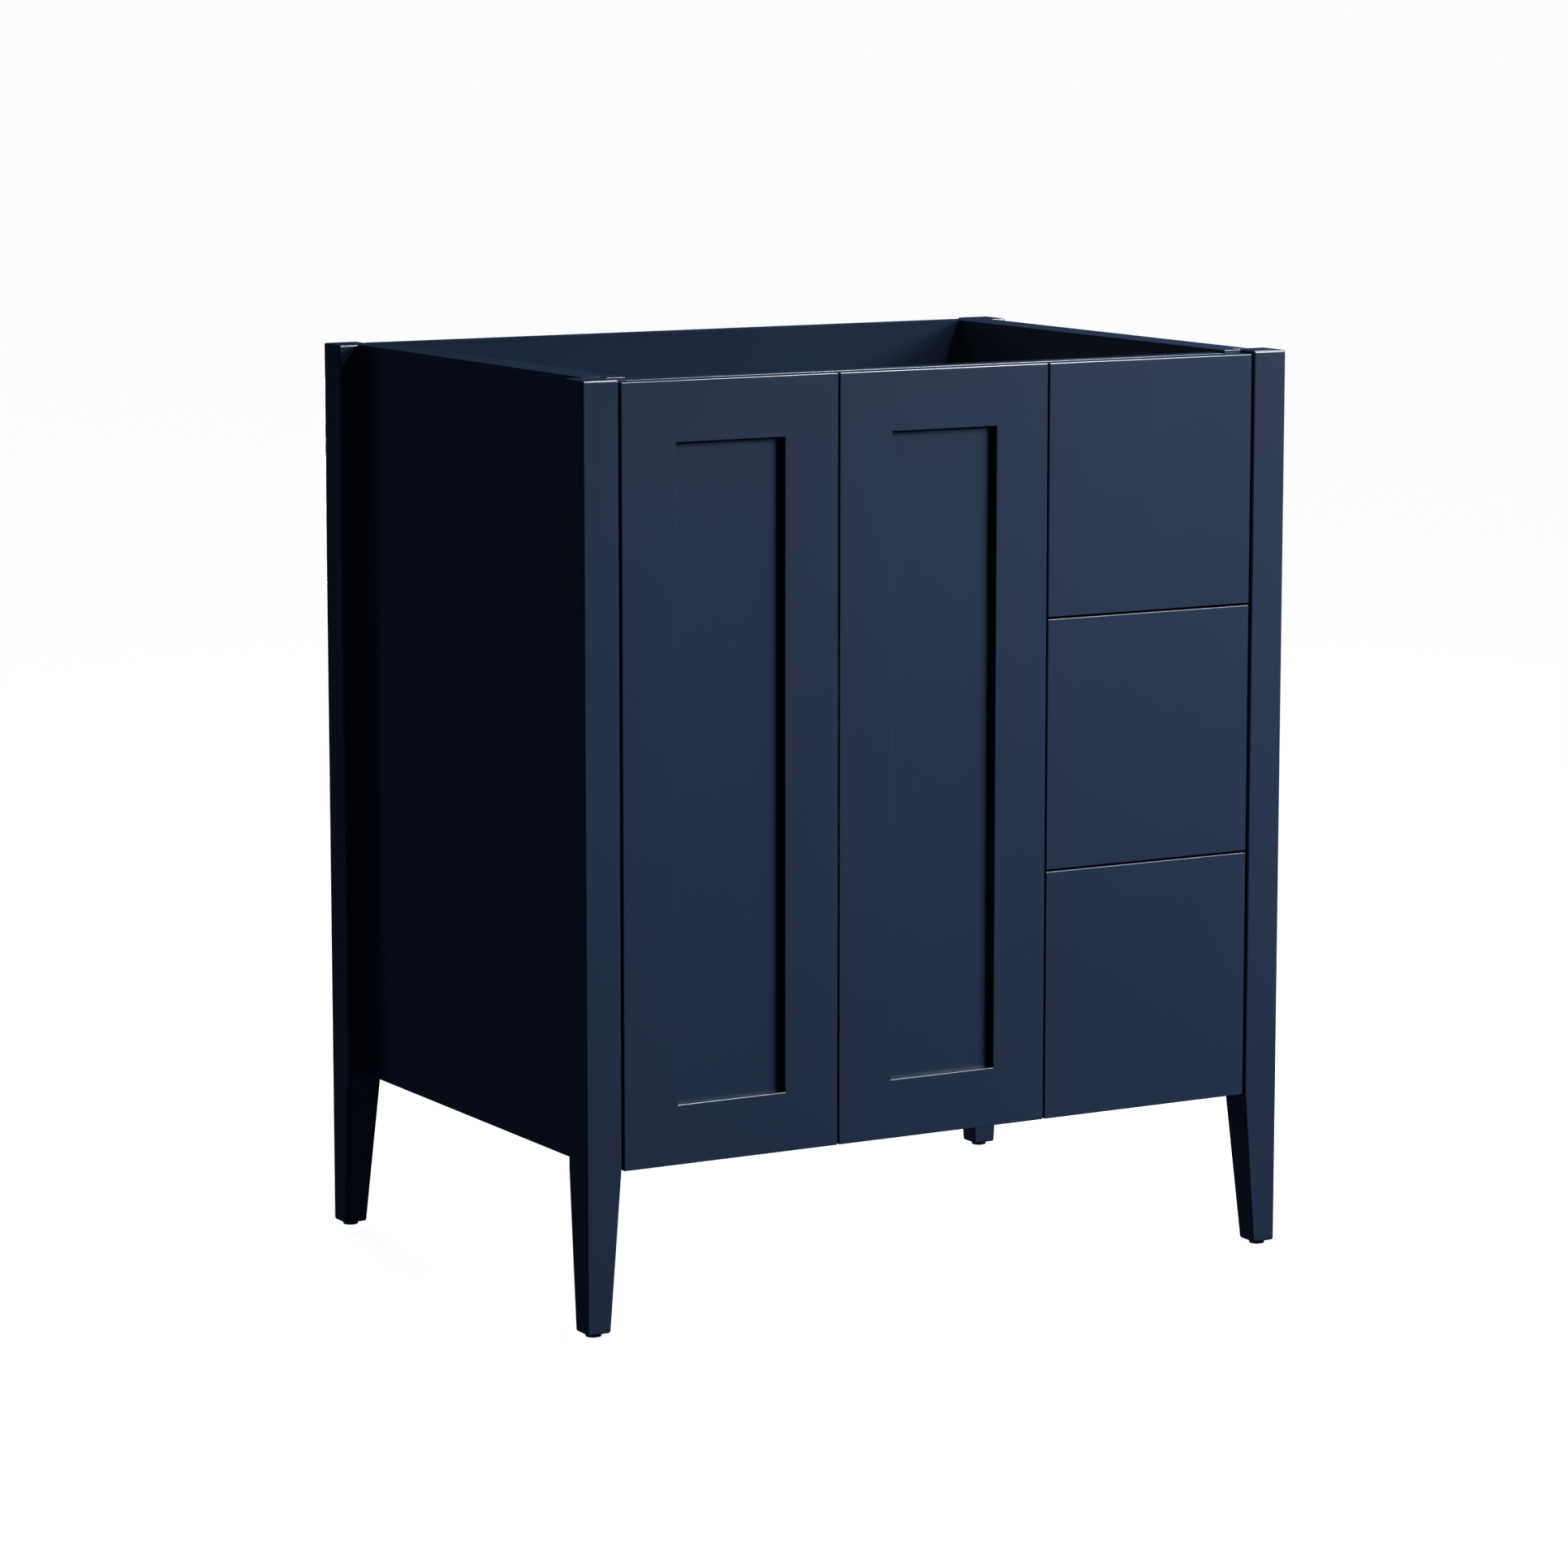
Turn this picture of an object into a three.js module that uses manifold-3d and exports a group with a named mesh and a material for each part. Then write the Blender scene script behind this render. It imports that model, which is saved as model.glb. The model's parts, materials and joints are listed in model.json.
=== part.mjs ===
// Bathroom vanity cabinet without a top: four full-height posts with tapered legs, inset side
// panels, a sink bay behind two shaker doors, and a stack of three slab-front drawers.
// Millimetres, +Z up. The origin is on the floor under the middle of the cabinet.
// The front faces -Y, the back stands against a wall at +Y, and +X is to the right.

import * as THREE from "three";
import { mergeVertices } from "three/addons/utils/BufferGeometryUtils.js";
import Module from "manifold-3d";

const wasm = await Module();
wasm.setup();

// ---- Driving dimensions ----

const WIDTH = 760;
const DEPTH = 540;
const HEIGHT = 876;
const CLEARANCE = 0.3; // left between two pieces that touch

const POST_SIZE = 36;
const LEG_FOOT_SIZE = 24;
const TAPER_TOP = 153; // the two inner faces of a leg slope in below this height
const GLIDE_RADIUS = 7.5;
const GLIDE_HEIGHT = 3;

const SIDE_RECESS = 19.5; // side panel's outer face, in from the posts' outer faces
const SIDE_INNER = 55.3; // side panel's inner face, in from the posts' outer faces
const CARCASS_FRONT = 23; // front edges of the boards, back from the posts' front faces
const CARCASS_BOTTOM = 155;
const BOARD = 18; // floor and partition thickness
const BACK_RECESS = 17; // back panel's outer face, in from the posts' back faces
const BACK_BOARD = 16;
const RAIL_DEPTH = 20;
const RAIL_HEIGHT = 60;
const PARTITION_LEFT = 482.9; // from the cabinet's left side

const CUTOUT_WIDTH = 300; // plumbing cut-out in the back panel
const CUTOUT_HEIGHT = 270;
const CUTOUT_BOTTOM = 330;
const CUTOUT_CORNER = 12;

const FRONT_BOTTOM = 153; // doors and drawer fronts
const FRONT_TOP = 873;
const FRONT_SETBACK = 0.6; // their faces, back from the posts' front faces
const FRONT_THICKNESS = 20;
const POST_GAP = 3; // between a post and a door or drawer front
const FRONT_GAP = 2; // between neighbouring doors and drawer fronts
const DOOR_WIDTH = 224.95;
const DRAWER_COUNT = 3;

const FRAME_WIDTH = 56; // stiles and rails of a door
const PANEL_RECESS = 8;
const PANEL_THICKNESS = 6;
const GROOVE_DEPTH = 8;

const CUP_RADIUS = 12.7;
const CUP_DEPTH = 11;
const CUP_WALL = 1.2;
const CUP_FLANGE_RADIUS = 17;
const CUP_EAR_WIDTH = 13;
const CUP_EAR_HEIGHT = 52; // from tip to tip of the flange's two screw ears
const CUP_FROM_SIDE = 16.7; // cup's centre, from the face that its arm is screwed to
const HINGE_INSET = 100; // hinge's middle, from the door's top or bottom edge
const PLATE_THICKNESS = 3;
const PLATE_WIDTH = 34;
const PLATE_HEIGHT = 50;
const PLATE_START = 24; // plate's near edge, from the door's back
const ARM_HEIGHT = 14;
const ARM_REAR = 72; // arm's far end, from the door's back
const ARM_OUTER = 13; // arm's outer face, from the face that its plate is screwed to
const ARM_SINK = 0.5; // how far the arm sinks into its plate
const CRANK_START = 12; // the arm steps out between these two, from the door's back
const CRANK_END = 18;
const NOSE_INNER = 8;
const NOSE_OUTER = 22;
const NOSE_DEPTH = 8; // nose's rear face, from the door's back

const SLIDE_SPACE = 12.7; // between a drawer box and the board beside it
const BOX_SIDE = 12;
const BOX_HEIGHT = 140;
const BOX_LIFT = 27; // box's lower edge, up from the front's lower edge
const BOX_LENGTH = 450;
const BOTTOM_THICKNESS = 6;
const BOTTOM_LIFT = 12; // drawer bottom, up from the box's lower edge
const BOTTOM_GROOVE = 6;

const SLIDE_LENGTH = 450;
const SLIDE_STEEL = 1.2;
const CABINET_SLIDE_HEIGHT = 45;
const CABINET_SLIDE_DEPTH = 9.5;
const DRAWER_SLIDE_HEIGHT = 34;
const DRAWER_SLIDE_DEPTH = 9;
const SLIDE_SETBACK = 4; // slide's front end, back from the carcass's front edges

const ROUND_SIDES = 24;

// ---- Places worked out from them ----

const left = -WIDTH / 2;
const right = WIDTH / 2;
const front = -DEPTH / 2;
const back = DEPTH / 2;

const innerLeft = left + SIDE_INNER;
const innerRight = right - SIDE_INNER;
const carcassFront = front + CARCASS_FRONT;
const backPanelOuter = back - BACK_RECESS;
const backPanelInner = backPanelOuter - BACK_BOARD;
const carcassBack = backPanelInner - CLEARANCE;
const floorTop = CARCASS_BOTTOM + BOARD;
const railBottom = FRONT_TOP - RAIL_HEIGHT;
const partitionLeft = left + PARTITION_LEFT;
const partitionRight = partitionLeft + BOARD;

const frontFace = front + FRONT_SETBACK;
const frontBack = frontFace + FRONT_THICKNESS;
const frontHeight = FRONT_TOP - FRONT_BOTTOM;
const leftDoorLeft = left + POST_SIZE + POST_GAP;
const rightDoorLeft = leftDoorLeft + DOOR_WIDTH + FRONT_GAP;
const drawersLeft = rightDoorLeft + DOOR_WIDTH + FRONT_GAP;
const drawersRight = right - POST_SIZE - POST_GAP;
const drawerHeight = (frontHeight - (DRAWER_COUNT - 1) * FRONT_GAP) / DRAWER_COUNT;

const grooveNear = PANEL_RECESS - CLEARANCE; // groove's walls, back from the door's face
const grooveFar = PANEL_RECESS + PANEL_THICKNESS + CLEARANCE;

// ---- Materials ----

const finishes = {
  navyPaint: { color: 0x2b3850, roughness: 0.42, metalness: 0 },
  birch: { color: 0xd2b283, roughness: 0.6, metalness: 0 },
  steel: { color: 0xb4b7ba, roughness: 0.35, metalness: 0.9 },
  blackPlastic: { color: 0x15161a, roughness: 0.55, metalness: 0 },
};

// ---- Making meshes ----

function piece(name, finish, geometry, position = [0, 0, 0], rotation = [0, 0, 0]) {
  const mesh = new THREE.Mesh(geometry, new THREE.MeshStandardMaterial(finishes[finish]));
  mesh.name = name;
  mesh.position.set(...position);
  mesh.rotation.set(...rotation);
  return mesh;
}

function board(name, finish, [x0, x1], [y0, y1], [z0, z1]) {
  const geometry = new THREE.BoxGeometry(x1 - x0, y1 - y0, z1 - z0);
  return piece(name, finish, geometry, [(x0 + x1) / 2, (y0 + y1) / 2, (z0 + z1) / 2]);
}

// A closed outline of [x, y] points, drawn out along +Z.
function prism(points, length) {
  const shape = new THREE.Shape(points.map(([x, y]) => new THREE.Vector2(x, y)));
  return new THREE.ExtrudeGeometry(shape, { depth: length, bevelEnabled: false });
}

// A rectangle with quarter-round corners, as a shape in the XY plane.
function roundedRectangle(width, height, radius) {
  const shape = new THREE.Shape();
  const x = width / 2 - radius;
  const y = height / 2 - radius;
  shape.absarc(x, y, radius, 0, Math.PI / 2);
  shape.absarc(-x, y, radius, Math.PI / 2, Math.PI);
  shape.absarc(-x, -y, radius, Math.PI, Math.PI * 1.5);
  shape.absarc(x, -y, radius, Math.PI * 1.5, Math.PI * 2);
  return shape;
}

function cylinderAlongY(radius, length) {
  return new THREE.CylinderGeometry(radius, radius, length, ROUND_SIDES);
}

function toSolid(geometry) {
  const bare = geometry.clone();
  bare.deleteAttribute("normal");
  bare.deleteAttribute("uv");
  const merged = mergeVertices(bare, 1e-4);
  return new wasm.Manifold(new wasm.Mesh({
    numProp: 3,
    vertProperties: new Float32Array(merged.getAttribute("position").array),
    triVerts: new Uint32Array(merged.index.array),
  }));
}

function toGeometry(solid) {
  const { vertProperties, triVerts } = solid.getMesh();
  const geometry = new THREE.BufferGeometry();
  geometry.setAttribute("position", new THREE.BufferAttribute(vertProperties, 3));
  geometry.setIndex(new THREE.BufferAttribute(triVerts, 1));
  geometry.computeVertexNormals();
  return geometry;
}

function joined(a, b) {
  return toGeometry(toSolid(a).add(toSolid(b)));
}

function cut(body, ...tools) {
  return toGeometry(tools.reduce((rest, tool) => rest.subtract(toSolid(tool)), toSolid(body)));
}

// ---- Posts, legs and glides ----

// Square rings of [size, height] with one corner on the Z axis, joined into one convex solid.
function squareLoft(rings) {
  const positions = [];
  const index = [];
  for (const [size, z] of rings) positions.push(0, 0, z, size, 0, z, size, size, z, 0, size, z);
  for (let ring = 0; ring < rings.length - 1; ring++) {
    for (let corner = 0; corner < 4; corner++) {
      const a = ring * 4 + corner;
      const b = ring * 4 + ((corner + 1) % 4);
      index.push(a, b, b + 4, a, b + 4, a + 4);
    }
  }
  const top = (rings.length - 1) * 4;
  index.push(0, 2, 1, 0, 3, 2, top, top + 1, top + 2, top, top + 2, top + 3);
  const geometry = new THREE.BufferGeometry();
  geometry.setAttribute("position", new THREE.Float32BufferAttribute(positions, 3));
  geometry.setIndex(index);
  geometry.computeVertexNormals();
  return geometry;
}

// Each leg is the same piece, turned a quarter so that its two upright faces look outwards.
function legs() {
  const corners = [
    ["front_left", left, front],
    ["front_right", right, front],
    ["rear_right", right, back],
    ["rear_left", left, back],
  ];
  const group = new THREE.Group();
  const foot = GLIDE_HEIGHT + CLEARANCE;
  corners.forEach(([name, x, y], quarter) => {
    const turn = [0, 0, quarter * Math.PI / 2];
    const geometry = squareLoft([[LEG_FOOT_SIZE, foot], [POST_SIZE, TAPER_TOP], [POST_SIZE, HEIGHT]]);
    group.add(piece(`${name}_leg`, "navyPaint", geometry, [x, y, 0], turn));
    const inward = LEG_FOOT_SIZE / 2;
    const glide = cylinderAlongY(GLIDE_RADIUS, GLIDE_HEIGHT).rotateX(Math.PI / 2);
    const centre = [x - Math.sign(x) * inward, y - Math.sign(y) * inward, GLIDE_HEIGHT / 2];
    group.add(piece(`${name}_glide`, "blackPlastic", glide, centre));
  });
  return group;
}

// ---- Carcass ----

// Outline of a side panel seen from above, from the cabinet's left side and front.
// Its outer half fits between the posts and its inner half runs past them.
function sidePanel(name, direction) {
  const outer = SIDE_RECESS;
  const step = POST_SIZE + CLEARANCE;
  const rear = carcassBack - front;
  const outline = [
    [outer, step], [step, step], [step, CARCASS_FRONT], [SIDE_INNER, CARCASS_FRONT],
    [SIDE_INNER, rear], [step, rear], [step, DEPTH - step], [outer, DEPTH - step],
  ];
  const placed = outline.map(([x, y]) => [direction * (left + x), front + y]);
  return piece(name, "navyPaint", prism(placed, HEIGHT - CARCASS_BOTTOM), [0, 0, CARCASS_BOTTOM]);
}

function backPanel() {
  const width = WIDTH - 2 * (POST_SIZE + CLEARANCE);
  const height = HEIGHT - CARCASS_BOTTOM;
  const panel = new THREE.BoxGeometry(width, height, BACK_BOARD);
  const middle = CARCASS_BOTTOM + height / 2;
  const hole = new THREE.ExtrudeGeometry(
    roundedRectangle(CUTOUT_WIDTH, CUTOUT_HEIGHT, CUTOUT_CORNER),
    { depth: 2 * BACK_BOARD, bevelEnabled: false, curveSegments: 4 },
  );
  const bayMiddle = (innerLeft + partitionLeft) / 2;
  hole.translate(bayMiddle, CUTOUT_BOTTOM + CUTOUT_HEIGHT / 2 - middle, -BACK_BOARD);
  const position = [0, (backPanelInner + backPanelOuter) / 2, middle];
  return piece("back_panel", "navyPaint", cut(panel, hole), position, [Math.PI / 2, 0, 0]);
}

function carcass() {
  const group = new THREE.Group();
  const across = [innerLeft + CLEARANCE, innerRight - CLEARANCE];
  const deep = [carcassFront, carcassBack];
  group.add(
    sidePanel("left_side_panel", 1),
    sidePanel("right_side_panel", -1),
    board("cabinet_floor", "navyPaint", across, deep, [CARCASS_BOTTOM, floorTop]),
    board("partition", "navyPaint", [partitionLeft, partitionRight], deep,
      [floorTop + CLEARANCE, railBottom - CLEARANCE]),
    board("front_rail", "navyPaint", across, [carcassFront, carcassFront + RAIL_DEPTH],
      [railBottom, FRONT_TOP]),
    backPanel(),
  );
  return group;
}

// ---- Doors ----

// A stile or rail along +Z: its outer edge at x = 0, its groove at the far edge, its face at y = 0.
function frameMember(length, direction) {
  const outline = [
    [0, 0], [FRAME_WIDTH, 0], [FRAME_WIDTH, grooveNear], [FRAME_WIDTH - GROOVE_DEPTH, grooveNear],
    [FRAME_WIDTH - GROOVE_DEPTH, grooveFar], [FRAME_WIDTH, grooveFar],
    [FRAME_WIDTH, FRONT_THICKNESS], [0, FRONT_THICKNESS],
  ];
  return prism(outline.map(([x, y]) => [direction * x, y]), length);
}

// A rail has a tongue at each end, which sits in the stiles' grooves below the panel's corner.
function railMember(length, direction) {
  const reach = GROOVE_DEPTH - CLEARANCE;
  const tongueHeight = FRAME_WIDTH - GROOVE_DEPTH;
  const tongue = new THREE.BoxGeometry(tongueHeight, PANEL_THICKNESS, length + 2 * (reach + CLEARANCE));
  tongue.translate(direction * tongueHeight / 2, PANEL_RECESS + PANEL_THICKNESS / 2, length / 2);
  return joined(frameMember(length, direction), tongue);
}

function hingeHeights() {
  return [["upper", frontHeight - HINGE_INSET], ["lower", HINGE_INSET]];
}

// The stile that the hinges are on has a blind bore in its back for each cup.
function hingeStile(direction, cupFromEdge) {
  const bores = hingeHeights().map(([, height]) => {
    const depth = CUP_DEPTH + CLEARANCE;
    const bore = cylinderAlongY(CUP_RADIUS + CLEARANCE, 2 * depth);
    return bore.translate(direction * cupFromEdge, FRONT_THICKNESS, height);
  });
  return cut(frameMember(frontHeight, direction), ...bores);
}

// A door's parts, with the door's lower left front corner at the group's origin.
function door(name, doorLeft, hingeOnLeft, cupFromEdge) {
  const group = new THREE.Group();
  group.position.set(doorLeft, frontFace, FRONT_BOTTOM);
  const add = (part, geometry, position, rotation) =>
    group.add(piece(`${name}_${part}`, "navyPaint", geometry, position, rotation));

  const leftStile = hingeOnLeft ? hingeStile(1, cupFromEdge) : frameMember(frontHeight, 1);
  const rightStile = hingeOnLeft ? frameMember(frontHeight, -1) : hingeStile(-1, cupFromEdge);
  add("left_stile", leftStile);
  add("right_stile", rightStile, [DOOR_WIDTH, 0, 0]);

  const railLength = DOOR_WIDTH - 2 * (FRAME_WIDTH + CLEARANCE);
  const railRight = DOOR_WIDTH - FRAME_WIDTH - CLEARANCE;
  const lieDown = [0, -Math.PI / 2, 0];
  add("bottom_rail", railMember(railLength, 1), [railRight, 0, 0], lieDown);
  add("top_rail", railMember(railLength, -1), [railRight, 0, frontHeight], lieDown);

  const border = FRAME_WIDTH - GROOVE_DEPTH + CLEARANCE;
  const panel = board(`${name}_panel`, "navyPaint",
    [border, DOOR_WIDTH - border],
    [PANEL_RECESS, PANEL_RECESS + PANEL_THICKNESS],
    [border, frontHeight - border]);
  group.add(panel);
  return group;
}

// ---- Concealed hinges ----

// A thin-walled cup, open towards +Y. Its round flange lies on the door's back and has a screw
// ear above and below.
function hingeCup() {
  const inner = CUP_RADIUS - CUP_WALL;
  const profile = [
    [0, -CUP_DEPTH], [CUP_RADIUS, -CUP_DEPTH], [CUP_RADIUS, 0], [CUP_FLANGE_RADIUS, 0],
    [CUP_FLANGE_RADIUS, CUP_WALL], [inner, CUP_WALL], [inner, CUP_WALL - CUP_DEPTH],
    [0, CUP_WALL - CUP_DEPTH],
  ];
  const cup = new THREE.LatheGeometry(profile.map(([r, y]) => new THREE.Vector2(r, y)), ROUND_SIDES);
  const ears = new THREE.BoxGeometry(CUP_EAR_WIDTH, CUP_WALL, CUP_EAR_HEIGHT);
  ears.translate(0, CUP_WALL / 2, 0);
  const mouth = cylinderAlongY(CUP_RADIUS, 4 * CUP_WALL);
  return joined(cup, cut(ears, mouth));
}

// A cranked arm on a mounting plate. The plate's face is at x = 0 and the door's back at y = 0;
// the arm's nose reaches over the cup's mouth without entering it.
function hingeArm(direction) {
  const root = CLEARANCE + PLATE_THICKNESS - ARM_SINK;
  const noseGap = CLEARANCE + CUP_WALL + CLEARANCE;
  const outline = [
    [root, ARM_REAR], [root, CRANK_START], [NOSE_INNER, CRANK_START], [NOSE_INNER + 1, noseGap],
    [NOSE_OUTER, noseGap], [NOSE_OUTER, NOSE_DEPTH], [ARM_OUTER, CRANK_END], [ARM_OUTER, ARM_REAR],
  ];
  const arm = prism(outline.map(([x, y]) => [direction * x, y]), ARM_HEIGHT);
  arm.translate(0, 0, -ARM_HEIGHT / 2);
  const plate = new THREE.BoxGeometry(PLATE_THICKNESS, PLATE_WIDTH, PLATE_HEIGHT);
  plate.translate(
    direction * (CLEARANCE + PLATE_THICKNESS / 2), PLATE_START + PLATE_WIDTH / 2, 0,
  );
  return joined(arm, plate);
}

function hinges(door, mountingFace, direction) {
  const group = new THREE.Group();
  for (const [level, height] of hingeHeights()) {
    const z = FRONT_BOTTOM + height;
    const cupX = mountingFace + direction * CUP_FROM_SIDE;
    const name = `${door}_${level}_hinge`;
    group.add(piece(`${name}_cup`, "steel", hingeCup(), [cupX, frontBack + CLEARANCE, z]));
    group.add(piece(`${name}_arm`, "steel", hingeArm(direction), [mountingFace, frontBack, z]));
  }
  return group;
}

// ---- Drawers ----

// A box side along +Z, with its outer face at x = 0 and a groove for the bottom in its inner face.
function boxSide(direction) {
  const groove = [BOTTOM_LIFT - CLEARANCE, BOTTOM_LIFT + BOTTOM_THICKNESS + CLEARANCE];
  const depth = BOX_SIDE - BOTTOM_GROOVE;
  const outline = [
    [0, 0], [BOX_SIDE, 0], [BOX_SIDE, groove[0]], [depth, groove[0]],
    [depth, groove[1]], [BOX_SIDE, groove[1]], [BOX_SIDE, BOX_HEIGHT], [0, BOX_HEIGHT],
  ];
  return prism(outline.map(([x, y]) => [direction * x, y]), BOX_LENGTH);
}

// A steel channel along +Z, with its web at x = 0 and its flanges pointing to +X.
function channel(direction, depth, height) {
  const half = height / 2;
  const inside = half - SLIDE_STEEL;
  const outline = [
    [0, -half], [depth, -half], [depth, -inside], [SLIDE_STEEL, -inside],
    [SLIDE_STEEL, inside], [depth, inside], [depth, half], [0, half],
  ];
  return prism(outline.map(([x, y]) => [direction * x, y]), SLIDE_LENGTH);
}

// What is drawn along +Z is laid down to run from its position towards the front.
const LIE_FORWARD = [Math.PI / 2, 0, 0];

function drawerSlides(name, side, wall, direction, z) {
  const group = new THREE.Group();
  const rear = carcassFront + SLIDE_SETBACK + SLIDE_LENGTH;
  const boxFace = wall + direction * (SLIDE_SPACE - CLEARANCE);
  const fixed = channel(direction, CABINET_SLIDE_DEPTH, CABINET_SLIDE_HEIGHT);
  const moving = channel(-direction, DRAWER_SLIDE_DEPTH, DRAWER_SLIDE_HEIGHT);
  group.add(
    piece(`${name}_${side}_cabinet_slide`, "steel", fixed,
      [wall + direction * CLEARANCE, rear, z], LIE_FORWARD),
    piece(`${name}_${side}_drawer_slide`, "steel", moving, [boxFace, rear, z], LIE_FORWARD),
  );
  return group;
}

function drawer(name, bottom) {
  const group = new THREE.Group();
  const boxLeft = partitionRight + SLIDE_SPACE;
  const boxRight = innerRight - SLIDE_SPACE;
  const boxFront = frontBack + CLEARANCE;
  const boxRear = boxFront + BOX_LENGTH;
  const boxBottom = bottom + BOX_LIFT;
  const bottomLow = boxBottom + BOTTOM_LIFT;
  const bottomHigh = bottomLow + BOTTOM_THICKNESS;
  const inLeft = boxLeft + BOX_SIDE;
  const inRight = boxRight - BOX_SIDE;
  const tuck = BOTTOM_GROOVE - CLEARANCE;

  group.add(
    board(`${name}_front`, "navyPaint", [drawersLeft, drawersRight], [frontFace, frontBack],
      [bottom, bottom + drawerHeight]),
    piece(`${name}_left_side`, "birch", boxSide(1), [boxLeft, boxRear, boxBottom], LIE_FORWARD),
    piece(`${name}_right_side`, "birch", boxSide(-1), [boxRight, boxRear, boxBottom], LIE_FORWARD),
    board(`${name}_back`, "birch", [inLeft + CLEARANCE, inRight - CLEARANCE],
      [boxRear - BOX_SIDE, boxRear], [bottomHigh + CLEARANCE, boxBottom + BOX_HEIGHT]),
    board(`${name}_bottom`, "birch", [inLeft - tuck, inRight + tuck], [boxFront, boxRear],
      [bottomLow, bottomHigh]),
  );
  const slideHeight = boxBottom + BOX_HEIGHT / 2;
  group.add(drawerSlides(name, "left", partitionRight, 1, slideHeight));
  group.add(drawerSlides(name, "right", innerRight, -1, slideHeight));
  return group;
}

// ---- The cabinet ----

const vanity = new THREE.Group();
vanity.add(legs(), carcass());

const rightDoorRight = rightDoorLeft + DOOR_WIDTH;
vanity.add(door("left_door", leftDoorLeft, true, innerLeft + CUP_FROM_SIDE - leftDoorLeft));
vanity.add(door("right_door", rightDoorLeft, false, rightDoorRight - partitionLeft + CUP_FROM_SIDE));
vanity.add(hinges("left_door", innerLeft, 1));
vanity.add(hinges("right_door", partitionLeft, -1));

["bottom_drawer", "middle_drawer", "top_drawer"].forEach((name, row) => {
  vanity.add(drawer(name, FRONT_BOTTOM + row * (drawerHeight + FRONT_GAP)));
});

export default vanity;
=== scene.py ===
import json
import math

import bmesh
import bpy
from mathutils import Matrix, Vector


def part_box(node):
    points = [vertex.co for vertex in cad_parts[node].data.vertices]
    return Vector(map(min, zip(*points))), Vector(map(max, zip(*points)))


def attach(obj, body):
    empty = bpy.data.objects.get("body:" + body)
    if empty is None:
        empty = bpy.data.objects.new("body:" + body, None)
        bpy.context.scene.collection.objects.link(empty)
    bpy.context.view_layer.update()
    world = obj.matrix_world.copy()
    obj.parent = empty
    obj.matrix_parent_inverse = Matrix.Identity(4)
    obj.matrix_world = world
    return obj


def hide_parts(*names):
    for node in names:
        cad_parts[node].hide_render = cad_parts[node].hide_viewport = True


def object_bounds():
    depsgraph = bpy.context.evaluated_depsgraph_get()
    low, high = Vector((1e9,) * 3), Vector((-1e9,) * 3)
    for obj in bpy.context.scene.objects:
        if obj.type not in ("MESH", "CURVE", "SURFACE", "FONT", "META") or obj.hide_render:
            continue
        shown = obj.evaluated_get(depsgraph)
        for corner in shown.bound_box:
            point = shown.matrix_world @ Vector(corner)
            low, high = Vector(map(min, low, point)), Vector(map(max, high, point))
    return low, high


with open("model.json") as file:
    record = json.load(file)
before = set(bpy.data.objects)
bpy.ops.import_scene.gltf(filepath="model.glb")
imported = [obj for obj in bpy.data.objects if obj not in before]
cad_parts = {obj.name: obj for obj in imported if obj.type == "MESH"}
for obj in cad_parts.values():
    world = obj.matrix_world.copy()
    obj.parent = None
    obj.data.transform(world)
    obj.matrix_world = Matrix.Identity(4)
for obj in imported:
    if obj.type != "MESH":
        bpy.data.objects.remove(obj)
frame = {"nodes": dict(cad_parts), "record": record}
cad_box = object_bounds()

MM = 0.001
DRAWERS = ("bottom_drawer", "middle_drawer", "top_drawer")
DOORS = ("left_door", "right_door")
CORNERS = ("front_left", "front_right", "rear_left", "rear_right")
OUTSIDE_BOARDS = ("left_side_panel", "right_side_panel", "front_rail")
INSIDE_BOARDS = ("cabinet_floor", "partition", "back_panel")

PLY = 1.33 * MM  # thickness of one ply of the drawer boxes
ROLLING = 300.0  # how fine the rolling lines of the sheet steel are
ROLLING_LENGTH = 40  # times longer than they are wide
FLOOR_DROP = 0.5 * MM  # of the studio floor below the glides

BODY_OF = {
    node: body
    for body, nodes in frame["record"]["behaviour"]["bodies"].items()
    for node in nodes
}

# Edge rounding of each kind of piece, in metres
POST_EDGE = 1.7 * MM
FOOT_EDGE = 2.6 * MM
TOP_EDGE = 2.3 * MM
FRONT_EDGE = 0.75 * MM
BOARD_EDGE = 0.6 * MM
PLY_EDGE = 0.8 * MM
STEEL_EDGE = 0.25 * MM
COVERED_REACH = 5 * MM  # below the top of the cabinet
LEVEL = 0.99  # upward part of a level face's normal
SHARP_ANGLE = math.radians(20)
CREASE_ANGLE = math.radians(50)

CORNER_STEPS = 5  # facets of a rounded corner of a post
LEG_FOOT = 24 * MM  # side of a leg's square foot
LEG_POST = 36 * MM  # side of a post
TAPER_TOP = 153 * MM  # height at which a leg becomes a post

LEVELS = ("upper", "lower")
SIDES = ("left", "right")
GAP = 0.3 * MM  # left between two pieces that touch

# Hinges, from the face that a plate is screwed to and from the door's back
CUP_FLANGE = 1.2 * MM
EAR_REACH = 21.2 * MM
EAR_SCREW = 3.4 * MM
PLATE_THICKNESS = 3 * MM
PLATE_MIDDLE = 41 * MM
PLATE_REACH = 17 * MM
ARM_FACE = 13 * MM
ARM_SCREW = 3.6 * MM
ADJUSTERS = (30 * MM, 58 * MM)
LINK_HALF = 6.2 * MM
LINK_RADIUS = 2.2 * MM
LINK_HEIGHT = 9 * MM
LINK_NEAR = 5.6 * MM
LINK_FAR = 3.4 * MM
LINK_STEPS = 8
PIN_RADIUS = 1.2 * MM
PIN_LENGTH = 17 * MM

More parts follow.
